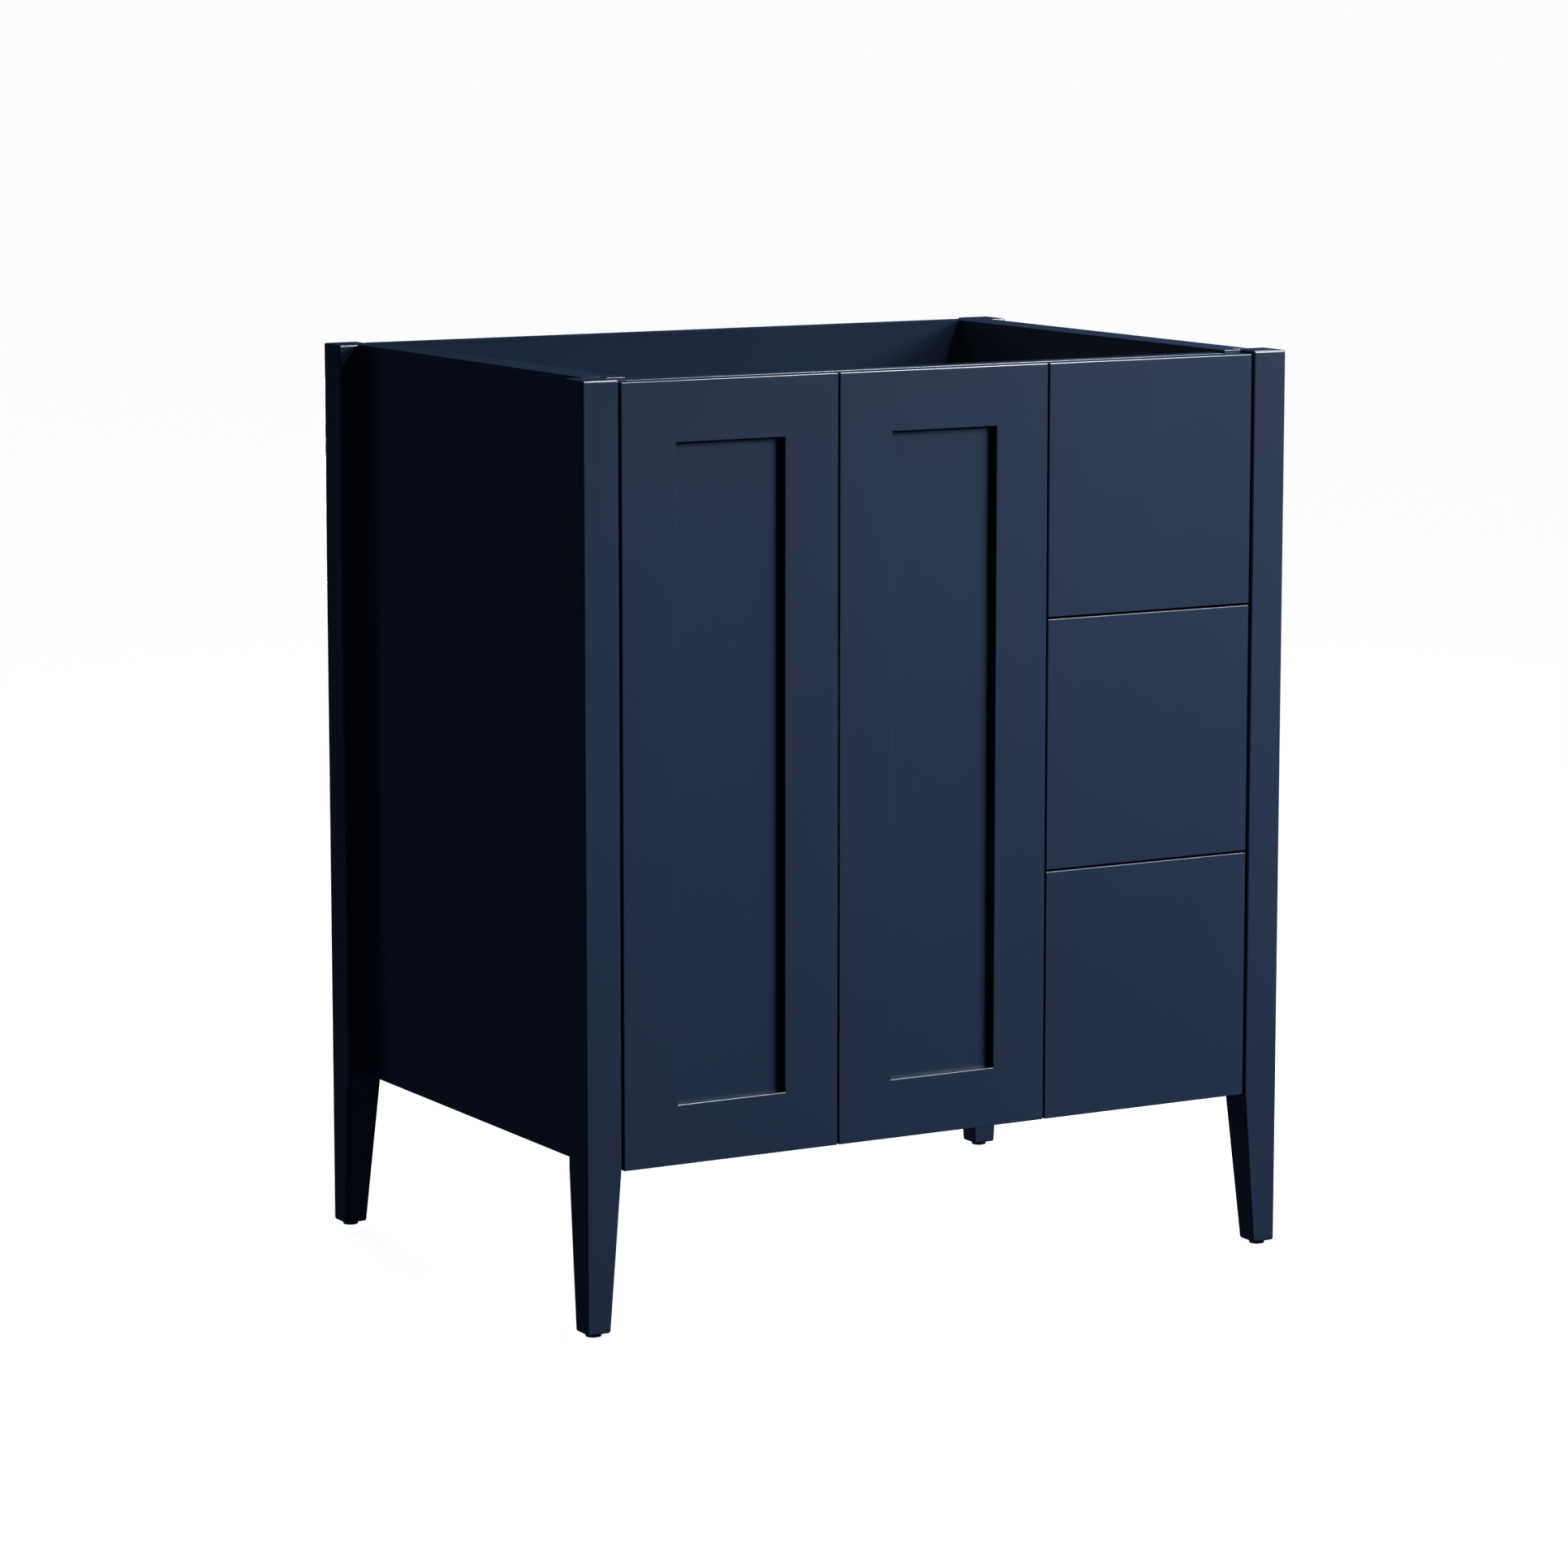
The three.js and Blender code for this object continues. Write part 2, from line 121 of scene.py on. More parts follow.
# Slides
SLIDE_STEEL = 1.2 * MM
SLIDE_SCREWS = (15 * MM, 130 * MM, 270 * MM, 420 * MM)
SLIDE_SCREW = 3.3 * MM
CAGE_START = 2 * MM
CAGE_LENGTH = 180 * MM
CAGE_WEB = 1.8 * MM
CAGE_STEEL = 0.7 * MM
CAGE_LIP = 9 * MM
CAGE_BALLS = 9
BALL_LIFT = 1.8 * MM
BALL_RADIUS = 2 * MM
BALL_FROM_WALL = 6.3 * MM

# Screws and bumpers
BUMPER_RADIUS = 4 * MM
BUMPER_HEIGHT = 1.7 * MM
BUMPER_INSET = 20 * MM
BUMPER_END = 15 * MM
BOX_SCREW = 3.2 * MM
BOX_SCREW_REACH = 48 * MM
BACK_SCREW = 3.6 * MM
BACK_SCREW_END = 30 * MM
BACK_STEPS = 4  # gaps between the screws up each side of the back panel
FLOOR_SCREWS = (-220 * MM, -80 * MM, 60 * MM, 200 * MM)  # along X, through the back panel
BUMPER_SIDES = 24
HEAD_SIDES = 20
HEAD_HEIGHT = 0.45  # of a screw head, for a radius of 1
RECESS = (1.1, 0.24, 0.6)  # length, width and twice the depth, for a radius of 1
SPIN_START = 0.3  # turn of a piece's first screw, and what each next one adds, in radians
SPIN_STEP = 0.7

# Lights: name, place and target in metres, size, watts, beam in degrees, and whether each
# lights surfaces as well as showing in their gloss
LIGHTS = (
    ("key", (2.2, -2.4, 2.2), (0.15, -0.27, 1.25), (1.8, 1.6), 95, 110, True),
    ("edge_strip", (1.0, -0.6, 2.6), (0.2, -0.27, 0.87), (1.7, 0.14), 64, 180, True),
    ("back_fill", (0.4, 4.6, 0.55), (0.1, 0.2, 0.45), (1.2, 0.5), 30, 60, True),
    ("edge_glint", (1.0, -0.6, 2.6), (0.2, -0.27, 0.87), (1.9, 0.6), 115, 180, False),
)
CAMERA_PLACE = (-2.667, -4.609, 1.268)
CAMERA_DOWN = 8.747  # degrees below the horizon
CAMERA_TURN = -29.883  # degrees from +Y
CAMERA_LENS = 126.7

# Card between the key light and the cabinet: its Y, and its reach along X and Z, in metres
FLAG_PLACE = -0.8
FLAG_ACROSS = (-0.6, 2.4)
FLAG_UP = (1.32, 2.6)

# A door's frame: its width, and the groove for the panel, back from the face
FRAME_WIDTH = 56 * MM
GROOVE_DEPTH = 8 * MM
GROOVE_NEAR = 7.7 * MM
GROOVE_FAR = 14.3 * MM
CUP_BORE = 13 * MM
CUP_BORE_DEPTH = 11.3 * MM


# ---- Node-tree helpers ----

def new_material(name):
    material = bpy.data.materials.new(name)
    material.use_nodes = True
    tree = material.node_tree
    tree.nodes.clear()
    output = tree.nodes.new("ShaderNodeOutputMaterial")
    shader = tree.nodes.new("ShaderNodeBsdfPrincipled")
    tree.links.new(shader.outputs["BSDF"], output.inputs["Surface"])
    return material, tree, shader


def object_coordinates(tree, scale=(1, 1, 1)):
    place = tree.nodes.new("ShaderNodeTexCoord")
    mapping = tree.nodes.new("ShaderNodeMapping")
    mapping.inputs["Scale"].default_value = scale
    tree.links.new(place.outputs["Object"], mapping.inputs["Vector"])
    return mapping.outputs["Vector"]


def noise(tree, vector, scale, detail=3.0, roughness=0.5, distortion=0.0):
    node = tree.nodes.new("ShaderNodeTexNoise")
    node.inputs["Scale"].default_value = scale
    node.inputs["Detail"].default_value = detail
    node.inputs["Roughness"].default_value = roughness
    node.inputs["Distortion"].default_value = distortion
    tree.links.new(vector, node.inputs["Vector"])
    return node.outputs["Fac"]


def spread(tree, value, low, high, start=0.3, end=0.7):
    """Maps a texture's middle range onto low..high."""
    node = tree.nodes.new("ShaderNodeMapRange")
    node.inputs["From Min"].default_value = start
    node.inputs["From Max"].default_value = end
    node.inputs["To Min"].default_value = low
    node.inputs["To Max"].default_value = high
    tree.links.new(value, node.inputs["Value"])
    return node.outputs["Result"]


def colours(tree, value, *stops):
    """A colour ramp through (position, (r, g, b)) stops."""
    node = tree.nodes.new("ShaderNodeValToRGB")
    ramp = node.color_ramp
    while len(ramp.elements) < len(stops):
        ramp.elements.new(0.5)
    for element, (position, colour) in zip(ramp.elements, stops):
        element.position = position
        element.color = (*colour, 1)
    tree.links.new(value, node.inputs["Fac"])
    return node.outputs["Color"]


def bump(tree, shader, height, strength, distance):
    node = tree.nodes.new("ShaderNodeBump")
    node.inputs["Strength"].default_value = strength
    node.inputs["Distance"].default_value = distance
    tree.links.new(height, node.inputs["Height"])
    tree.links.new(node.outputs["Normal"], shader.inputs["Normal"])


def multiply(tree, first, second):
    node = tree.nodes.new("ShaderNodeMath")
    node.operation = "MULTIPLY"
    tree.links.new(first, node.inputs[0])
    tree.links.new(second, node.inputs[1])
    return node.outputs["Value"]


# ---- Materials ----

def navy_paint(name, specular, lacquer):
    """Sprayed paint, with or without a thin satin lacquer: faint tone changes, orange peel, rub marks."""
    material, tree, shader = new_material(name)
    place = object_coordinates(tree)
    tone = noise(tree, place, 5, detail=2)
    shade = colours(tree, tone, (0.3, (0.0156, 0.0272, 0.0535)), (0.7, (0.0168, 0.0288, 0.0562)))
    tree.links.new(shade, shader.inputs["Base Color"])
    rub = noise(tree, place, 22, detail=5, roughness=0.65)
    tree.links.new(spread(tree, rub, 0.275, 0.295), shader.inputs["Roughness"])
    shader.inputs["Specular IOR Level"].default_value = specular
    shader.inputs["Coat Weight"].default_value = lacquer
    shader.inputs["Coat Roughness"].default_value = 0.17
    peel = noise(tree, place, 420, detail=2)
    bump(tree, shader, peel, 0.06, 0.15 * MM)
    return material


def birch(name, along, across):
    """Clear-lacquered birch plywood: its grain along one axis, and its plies stacked along another."""
    material, tree, shader = new_material(name)
    stretch = [38.0, 38.0, 38.0]
    stretch[along] = 1.6
    place = object_coordinates(tree, scale=stretch)
    grain = noise(tree, place, 1.0, detail=6, roughness=0.62, distortion=0.6)
    fibre_place = object_coordinates(tree, scale=[v * 9 for v in stretch])
    fibre = noise(tree, fibre_place, 1.0, detail=3, roughness=0.6)
    mixed = multiply(tree, grain, spread(tree, fibre, 0.86, 1.06))
    face = colours(
        tree, mixed,
        (0.28, (0.46, 0.29, 0.145)), (0.45, (0.63, 0.44, 0.245)), (0.66, (0.74, 0.56, 0.35)),
    )
    plies = colours(
        tree, ply_stripes(tree, across),
        (0.0, (0.66, 0.48, 0.28)), (0.44, (0.62, 0.44, 0.25)),
        (0.5, (0.30, 0.17, 0.08)), (0.94, (0.36, 0.21, 0.10)),
    )
    mix = tree.nodes.new("ShaderNodeMix")
    mix.data_type = "RGBA"
    tree.links.new(cut_edge(tree, across), mix.inputs["Factor"])
    tree.links.new(face, mix.inputs["A"])
    tree.links.new(plies, mix.inputs["B"])
    tree.links.new(mix.outputs["Result"], shader.inputs["Base Color"])
    tree.links.new(spread(tree, fibre, 0.42, 0.56), shader.inputs["Roughness"])
    bump(tree, shader, fibre, 0.25, 0.12 * MM)
    return material


def axis_of(tree, output, axis):
    split = tree.nodes.new("ShaderNodeSeparateXYZ")
    tree.links.new(output, split.inputs["Vector"])
    return split.outputs[axis]


def ply_stripes(tree, across):
    """0 to 1 over each pair of plies."""
    place = tree.nodes.new("ShaderNodeTexCoord")
    pairs = tree.nodes.new("ShaderNodeMath")
    pairs.operation = "MULTIPLY"
    pairs.inputs[1].default_value = 1 / (2 * PLY)
    tree.links.new(axis_of(tree, place.outputs["Object"], across), pairs.inputs[0])
    part = tree.nodes.new("ShaderNodeMath")
    part.operation = "FRACT"
    tree.links.new(pairs.outputs["Value"], part.inputs[0])
    return part.outputs["Value"]


def cut_edge(tree, across):
    """1 where a surface is a cut edge of the board, and 0 on its two broad faces."""
    place = tree.nodes.new("ShaderNodeTexCoord")
    size = tree.nodes.new("ShaderNodeMath")
    size.operation = "ABSOLUTE"
    tree.links.new(axis_of(tree, place.outputs["Normal"], across), size.inputs[0])
    return spread(tree, size.outputs["Value"], 1.0, 0.0, start=0.45, end=0.6)


def metal(name, base, low, high, along):
    """Plated sheet steel with fine rolling lines along one axis and a slightly cloudy finish."""
    material, tree, shader = new_material(name)
    stretch = [ROLLING, ROLLING, ROLLING]
    stretch[along] = ROLLING / ROLLING_LENGTH
    lines = noise(tree, object_coordinates(tree, scale=stretch), 1.0, detail=3)
    cloud = noise(tree, object_coordinates(tree), 45, detail=3)
    dark = tuple(c * 0.82 for c in base)
    tree.links.new(colours(tree, cloud, (0.3, dark), (0.7, base)), shader.inputs["Base Color"])
    shader.inputs["Metallic"].default_value = 1.0
    tree.links.new(spread(tree, lines, low, high), shader.inputs["Roughness"])
    bump(tree, shader, lines, 0.15, 0.03 * MM)
    return material


def black_plastic():
    """Moulded polyethylene with a fine spark-eroded grain."""
    material, tree, shader = new_material("black_plastic")
    place = object_coordinates(tree)
    grain = noise(tree, place, 900, detail=2)
    tone = noise(tree, place, 90)
    shade = colours(tree, tone, (0.3, (0.008, 0.008, 0.009)), (0.7, (0.016, 0.016, 0.017)))
    tree.links.new(shade, shader.inputs["Base Color"])
    tree.links.new(spread(tree, grain, 0.45, 0.62), shader.inputs["Roughness"])
    bump(tree, shader, grain, 0.3, 0.05 * MM)
    return material


def clear_bumper():
    """Milky soft polyurethane with a faint cloudiness."""
    material, tree, shader = new_material("clear_bumper")
    place = object_coordinates(tree)
    cloud = noise(tree, place, 600, detail=2)
    shade = colours(tree, cloud, (0.3, (0.55, 0.55, 0.53)), (0.7, (0.68, 0.68, 0.66)))
    tree.links.new(shade, shader.inputs["Base Color"])
    tree.links.new(spread(tree, cloud, 0.22, 0.34), shader.inputs["Roughness"])
    shader.inputs["Transmission Weight"].default_value = 0.45
    bump(tree, shader, cloud, 0.1, 0.03 * MM)
    return material


X, Y, Z = 0, 1, 2
PAINT = navy_paint("navy_paint", specular=0.12, lacquer=0.7)
INSIDE_PAINT = navy_paint("navy_inside_paint", specular=0.0, lacquer=0.0)
BIRCH_SIDE = birch("birch_side", Y, X)
BIRCH_BACK = birch("birch_back", X, Y)
BIRCH_BOTTOM = birch("birch_bottom", Y, Z)
NICKEL = metal("nickel_steel", (0.62, 0.61, 0.59), 0.18, 0.30, Z)
ZINC = metal("zinc_steel", (0.56, 0.58, 0.61), 0.28, 0.42, Y)
PLASTIC = black_plastic()
BUMPER = clear_bumper()


# ---- Meshes ----

def clean_copy(node):
    """A bmesh of a CAD node with its flat faces made whole again, ready for edge rounding."""
    shape = bmesh.new()
    shape.from_mesh(frame["nodes"][node].data)
    bmesh.ops.remove_doubles(shape, verts=shape.verts, dist=1e-6)
    bmesh.ops.dissolve_limit(
        shape, angle_limit=math.radians(0.5), verts=shape.verts, edges=shape.edges,
    )
    return shape


def round_edges(shape, radius, segments=3, edges=None):
    if edges is None:
        edges = [e for e in shape.edges if e.is_manifold and e.calc_face_angle() > SHARP_ANGLE]
    bmesh.ops.bevel(
        shape, geom=edges, offset=radius, segments=segments, profile=0.5, affect="EDGES",
        clamp_overlap=True, harden_normals=False,
    )


def finished(shape, name, material):
    """Turns a bmesh into a smooth-shaded object whose flat faces keep flat normals."""
    mesh = bpy.data.meshes.new(name)
    shape.normal_update()
    for edge in shape.edges:
        if edge.is_manifold and edge.calc_face_angle() > CREASE_ANGLE:
            edge.smooth = False
    shape.to_mesh(mesh)
    shape.free()
    for polygon in mesh.polygons:
        polygon.use_smooth = True
    mesh.materials.append(material)
    if material is PAINT:
        bare_top_edges(mesh)
    piece = bpy.data.objects.new(name, mesh)
    bpy.context.scene.collection.objects.link(piece)
    weighted = piece.modifiers.new("weighted_normals", "WEIGHTED_NORMAL")
    weighted.mode = "FACE_AREA"
    weighted.weight = 100
    weighted.keep_sharp = True
    return piece


def bare_top_edges(mesh):
    """Leaves the lacquer off the level edges that a countertop would cover."""
    covered = cad_box[1][Z] - COVERED_REACH
    mesh.materials.append(INSIDE_PAINT)
    for polygon in mesh.polygons:
        if polygon.center.z > covered and polygon.normal.z > LEVEL:
            polygon.material_index = 1


def shown(shape, name, material, slot, body, *nodes):
    """A finished piece that rides on a body and stands for some CAD nodes, or for none."""
    piece = finished(shape, name, material)
    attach(piece, body)
    if nodes:
        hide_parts(*nodes)


def remade(node, material, slot, radius, segments=3):
    """The shown piece for a CAD node: the same solid with rounded edges."""
    shape = clean_copy(node)
    round_edges(shape, radius, segments)
    shown(shape, f"{node}_finish", material, slot, BODY_OF[node], node)


def loft(rings):
    """A closed solid through rings that have the same number of points."""
    shape = bmesh.new()
    loops = [[shape.verts.new(point) for point in ring] for ring in rings]
    for low, high in zip(loops, loops[1:]):
        for i in range(len(low)):
            j = (i + 1) % len(low)
            shape.faces.new((low[i], low[j], high[j], high[i]))
    shape.faces.new(list(reversed(loops[0])))
    shape.faces.new(loops[-1])
    bmesh.ops.recalc_face_normals(shape, faces=shape.faces)
    return shape


def solid_bits(shape, bits):
    """Adds other bmeshes to a bmesh and frees them."""
    for bit in bits:
        mesh = bpy.data.meshes.new("bit")
        bit.to_mesh(mesh)
        bit.free()
        shape.from_mesh(mesh)
        bpy.data.meshes.remove(mesh)
    return shape


def cylinder(centre, axis, radius, length, segments=24):
    """A cylinder from its centre, along a direction."""
    shape = bmesh.new()
    turn = Vector(axis).to_track_quat("Z", "Y").to_matrix().to_4x4()
    bmesh.ops.create_cone(
        shape, cap_ends=True, segments=segments, radius1=radius, radius2=radius, depth=length,
        matrix=Matrix.Translation(centre) @ turn,
    )
    return shape


def less(shape, cutters):
    """A bmesh with other bmeshes cut out of it."""
    objects = []
    for part in (shape, *cutters):
        mesh = bpy.data.meshes.new("part")
        part.to_mesh(mesh)
        part.free()
        objects.append(bpy.data.objects.new("part", mesh))
        bpy.context.scene.collection.objects.link(objects[-1])
    body = objects[0]
    for tool in objects[1:]:
        modifier = body.modifiers.new("cut", "BOOLEAN")
        modifier.operation = "DIFFERENCE"
        modifier.solver = "EXACT"
        modifier.object = tool
    evaluated = body.evaluated_get(bpy.context.evaluated_depsgraph_get())
    result = bmesh.new()
    result.from_mesh(evaluated.to_mesh())
    evaluated.to_mesh_clear()
    for item in objects:
        mesh = item.data
        bpy.data.objects.remove(item)
        bpy.data.meshes.remove(mesh)
    return result


# ---- Painted pieces ----

def rounded_rectangle(low, high, z, radius):
    """A ring of points, from the corner at high, high and on anticlockwise."""
    corners = (
        (high[0], high[1], -1, -1), (low[0], high[1], 1, -1),
        (low[0], low[1], 1, 1), (high[0], low[1], -1, 1),
    )
    ring = []
    for quarter, (x, y, inward_x, inward_y) in enumerate(corners):
        for step in range(CORNER_STEPS + 1):
            angle = (quarter + step / CORNER_STEPS) * math.pi / 2
            ring.append((
                x + inward_x * radius + radius * math.cos(angle),
                y + inward_y * radius + radius * math.sin(angle),
                z,
            ))
    return ring


def leg(corner):
    """A post whose two outer faces are upright and whose inner faces taper to a soft-edged foot."""
    low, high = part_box(f"{corner}_leg")
    outer = [low[a] if abs(low[a]) > abs(high[a]) else high[a] for a in (X, Y)]
    foot, top = low[Z], high[Z]

    levels = []
    for step in range(CORNER_STEPS + 1):
        angle = step / CORNER_STEPS * math.pi / 2
        levels.append((foot + FOOT_EDGE * (1 - math.cos(angle)), FOOT_EDGE * (1 - math.sin(angle))))
    levels.append((TAPER_TOP, 0))
    for step in range(CORNER_STEPS + 1):
        angle = step / CORNER_STEPS * math.pi / 2
        levels.append((top - TOP_EDGE * (1 - math.sin(angle)), TOP_EDGE * (1 - math.cos(angle))))

    rings = []
    for z, inset in levels:
        share = min(1, (z - foot) / (TAPER_TOP - foot))
        size = LEG_FOOT + (LEG_POST - LEG_FOOT) * share
        inner = [v - math.copysign(size, v) for v in outer]
        near = [min(outer[a], inner[a]) + inset for a in (X, Y)]
        far = [max(outer[a], inner[a]) - inset for a in (X, Y)]
        rings.append(rounded_rectangle(near, far, z, max(POST_EDGE - inset, 0.1 * MM)))
    shape = loft(rings)
    for edge in shape.edges:
        if all(abs(v.co.z - TAPER_TOP) < 0.01 * MM for v in edge.verts):
            edge.smooth = False
    shown(shape, f"{corner}_leg_finish", PAINT, "navy_paint", "root", f"{corner}_leg")


def door_frame(door):
    """Stiles and rails under one unbroken coat of paint, bored for the hinge cups."""
    members = [f"{door}_{part}" for part in ("left_stile", "right_stile", "top_rail", "bottom_rail")]
    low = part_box(members[0])[0]
    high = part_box(members[1])[1]
    thickness = high[Y] - low[Y]
    outline = (
        (0, 0), (FRAME_WIDTH, 0), (FRAME_WIDTH, GROOVE_NEAR), (FRAME_WIDTH - GROOVE_DEPTH, GROOVE_NEAR),
        (FRAME_WIDTH - GROOVE_DEPTH, GROOVE_FAR), (FRAME_WIDTH, GROOVE_FAR),
        (FRAME_WIDTH, thickness), (0, thickness),
    )
    corners = (
        (low[X], low[Z], 1, 1), (high[X], low[Z], -1, 1),
        (high[X], high[Z], -1, -1), (low[X], high[Z], 1, -1),
    )
    shape = bmesh.new()
    rings = [
        [shape.verts.new((x + side * inset, low[Y] + depth, z + up * inset)) for inset, depth in outline]
        for x, z, side, up in corners
    ]
    count = len(outline)
    for i in range(len(rings)):
        here, beyond = rings[i], rings[(i + 1) % len(rings)]
        for k in range(count):
            m = (k + 1) % count
            shape.faces.new((here[k], here[m], beyond[m], beyond[k]))
    bmesh.ops.recalc_face_normals(shape, faces=shape.faces)
    round_edges(shape, FRONT_EDGE)
    bores = []
    for level in LEVELS:
        x, _, z = middle(f"{door}_{level}_hinge_cup")
        bores.append(cylinder((x, high[Y], z), (0, 1, 0), CUP_BORE, 2 * CUP_BORE_DEPTH, 48))
    shown(less(shape, bores), f"{door}_frame", PAINT, "navy_paint", door, *members)


def middle(node):
    low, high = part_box(node)
    return [(a + b) / 2 for a, b in zip(low, high)]


def painted_pieces():
    for corner in CORNERS:
        leg(corner)
    for node in OUTSIDE_BOARDS:
        remade(node, PAINT, "navy_paint", BOARD_EDGE)
    for node in INSIDE_BOARDS:
        remade(node, INSIDE_PAINT, "navy_paint", BOARD_EDGE)
    for door in DOORS:
        door_frame(door)
        remade(f"{door}_panel", PAINT, "navy_paint", BOARD_EDGE)
    for drawer in DRAWERS:
        remade(f"{drawer}_front", PAINT, "navy_paint", FRONT_EDGE)


def drawer_boxes():
    for drawer in DRAWERS:
        for side in SIDES:
            remade(f"{drawer}_{side}_side", BIRCH_SIDE, "birch_ply", PLY_EDGE)
        remade(f"{drawer}_back", BIRCH_BACK, "birch_ply", PLY_EDGE)
        remade(f"{drawer}_bottom", BIRCH_BOTTOM, "birch_ply", PLY_EDGE / 2)


# ---- Hardware ----

def circle(sides):
    """Cosine and sine of each of a circle's points."""
    turns = [2 * math.pi * k / sides for k in range(sides)]
    return [(math.cos(turn), math.sin(turn)) for turn in turns]


def cross_head():
    """A pan screw head with a cross recess, of radius 1, standing on z = 0."""
    profile = ((1.0, 0.0), (1.0, 0.14), (0.93, 0.27), (0.76, 0.38), (0.5, 0.43), (0.2, HEAD_HEIGHT))
    rings = [[(r * x, r * y, z) for x, y in circle(HEAD_SIDES)] for r, z in profile]
    slots = []
    length, width, deep = RECESS
    for size in ((length, width, deep), (width, length, deep)):
        cutter = bmesh.new()
        place = Matrix.Translation((0, 0, HEAD_HEIGHT)) @ Matrix.Diagonal((*size, 1))
        bmesh.ops.create_cube(cutter, size=1, matrix=place)
        slots.append(cutter)
    return less(loft(rings), slots)


def screws(name, body, material, slot, radius, places):
    """Screw heads at (point, outward direction) places, as one piece."""
    template = bpy.data.meshes.new("template")
    head = cross_head()
    head.to_mesh(template)
    head.free()
    shape = bmesh.new()
    for turn, (point, outward) in enumerate(places):
        direction = Vector(outward).to_track_quat("Z", "Y").to_matrix().to_4x4()
        spin = Matrix.Rotation(SPIN_STEP * turn + SPIN_START, 4, "Z")
        before = len(shape.verts)
        shape.from_mesh(template)
        shape.verts.ensure_lookup_table()
        place = Matrix.Translation(point) @ direction @ spin @ Matrix.Scale(radius, 4)
        for vertex in shape.verts[before:]:
            vertex.co = place @ vertex.co
    bpy.data.meshes.remove(template)
    shown(shape, name, material, slot, body)


def hinge_details(door):
    """Screws of the cups and plates, and the folded link that sits in each cup."""
    direction = 1 if door == "left_door" else -1
    for level in LEVELS:
        name = f"{door}_{level}_hinge"
        remade(f"{name}_arm", NICKEL, "nickel_steel", STEEL_EDGE * 2, segments=2)
        remade(f"{name}_cup", NICKEL, "nickel_steel", STEEL_EDGE, segments=2)
        cup_x, _, z = middle(f"{name}_cup")
        cup_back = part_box(f"{name}_cup")[1][Y]
        screws(f"{name}_cup_screws", door, NICKEL, "nickel_steel", EAR_SCREW, [
            ((cup_x, cup_back, z + step), (0, 1, 0)) for step in (-EAR_REACH, EAR_REACH)
        ])
        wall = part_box(f"{name}_arm")[0 if direction > 0 else 1][X] - direction * GAP
        plate = wall + direction * (GAP + PLATE_THICKNESS)
        door_back = cup_back - CUP_FLANGE - GAP
        fixings = [
            ((plate, door_back + PLATE_MIDDLE, z + step), (direction, 0, 0))
            for step in (-PLATE_REACH, PLATE_REACH)
        ]
        adjusters = [
            ((wall + direction * ARM_FACE, door_back + reach, z), (direction, 0, 0))
            for reach in ADJUSTERS
        ]
        screws(f"{name}_arm_screws", "root", NICKEL, "nickel_steel", ARM_SCREW, fixings + adjusters)
        link(name, door, direction, cup_x, door_back, z)


def link(name, door, direction, x, door_back, z):
    """A stamped link between two pins, folded down inside the cup."""
    near = (x - direction * LINK_HALF, door_back - LINK_NEAR)
    far = (x + direction * LINK_HALF, door_back - LINK_FAR)
    along = math.atan2(far[1] - near[1], far[0] - near[0])
    points = []
    for centre, start in ((far, -math.pi / 2), (near, math.pi / 2)):
        for step in range(LINK_STEPS + 1):
            angle = along + start + math.pi * step / LINK_STEPS
            points.append((
                centre[0] + LINK_RADIUS * math.cos(angle),
                centre[1] + LINK_RADIUS * math.sin(angle),
            ))
    rings = [[(px, py, z + up) for px, py in points] for up in (-LINK_HEIGHT / 2, LINK_HEIGHT / 2)]
    shape = loft(rings)
    round_edges(shape, STEEL_EDGE, 2, [e for e in shape.edges if e.calc_face_angle() > CREASE_ANGLE])
    pins = [cylinder((px, py, z), (0, 0, 1), PIN_RADIUS, PIN_LENGTH, 16) for px, py in (near, far)]
    shown(solid_bits(shape, pins), f"{name}_link", NICKEL, "nickel_steel", door)


def slide_details(drawer, side):
    """A slide's screws, and the caged balls between its two channels."""
    direction = 1 if side == "left" else -1
    fixed_low, fixed_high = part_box(f"{drawer}_{side}_cabinet_slide")
    moving_low, moving_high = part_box(f"{drawer}_{side}_drawer_slide")
    z = (fixed_low[Z] + fixed_high[Z]) / 2
    web = (moving_high if direction > 0 else moving_low)[X] - direction * SLIDE_STEEL
    places = [((web, moving_low[Y] + reach, z), (-direction, 0, 0)) for reach in SLIDE_SCREWS]
    screws(f"{drawer}_{side}_slide_screws", drawer, ZINC, "zinc_steel", SLIDE_SCREW, places)

    wall = (fixed_low if direction > 0 else fixed_high)[X]
    start = fixed_low[Y] + CAGE_START
    row = (moving_high[Z] - moving_low[Z]) / 2 + BALL_LIFT
    outline = [
        (CAGE_WEB, -row - CAGE_STEEL), (CAGE_WEB + CAGE_STEEL, -row - CAGE_STEEL),
        (CAGE_LIP, -row - CAGE_STEEL), (CAGE_LIP, -row), (CAGE_WEB + CAGE_STEEL, -row),
        (CAGE_WEB + CAGE_STEEL, row), (CAGE_LIP, row), (CAGE_LIP, row + CAGE_STEEL),
        (CAGE_WEB, row + CAGE_STEEL),
    ]
    ends = (start, start + CAGE_LENGTH)
    rings = [[(wall + direction * px, y, z + pz) for px, pz in outline] for y in ends]
    balls = []
    for height in (-row - CAGE_STEEL / 2, row + CAGE_STEEL / 2):
        for step in range(CAGE_BALLS):
            ball = bmesh.new()
            y = start + CAGE_LENGTH * (step + 0.5) / CAGE_BALLS
            place = Matrix.Translation((wall + direction * BALL_FROM_WALL, y, z + height))
            bmesh.ops.create_icosphere(ball, subdivisions=2, radius=BALL_RADIUS, matrix=place)
            balls.append(ball)
    shown(solid_bits(loft(rings), balls), f"{drawer}_{side}_ball_cage", ZINC, "zinc_steel", "root")


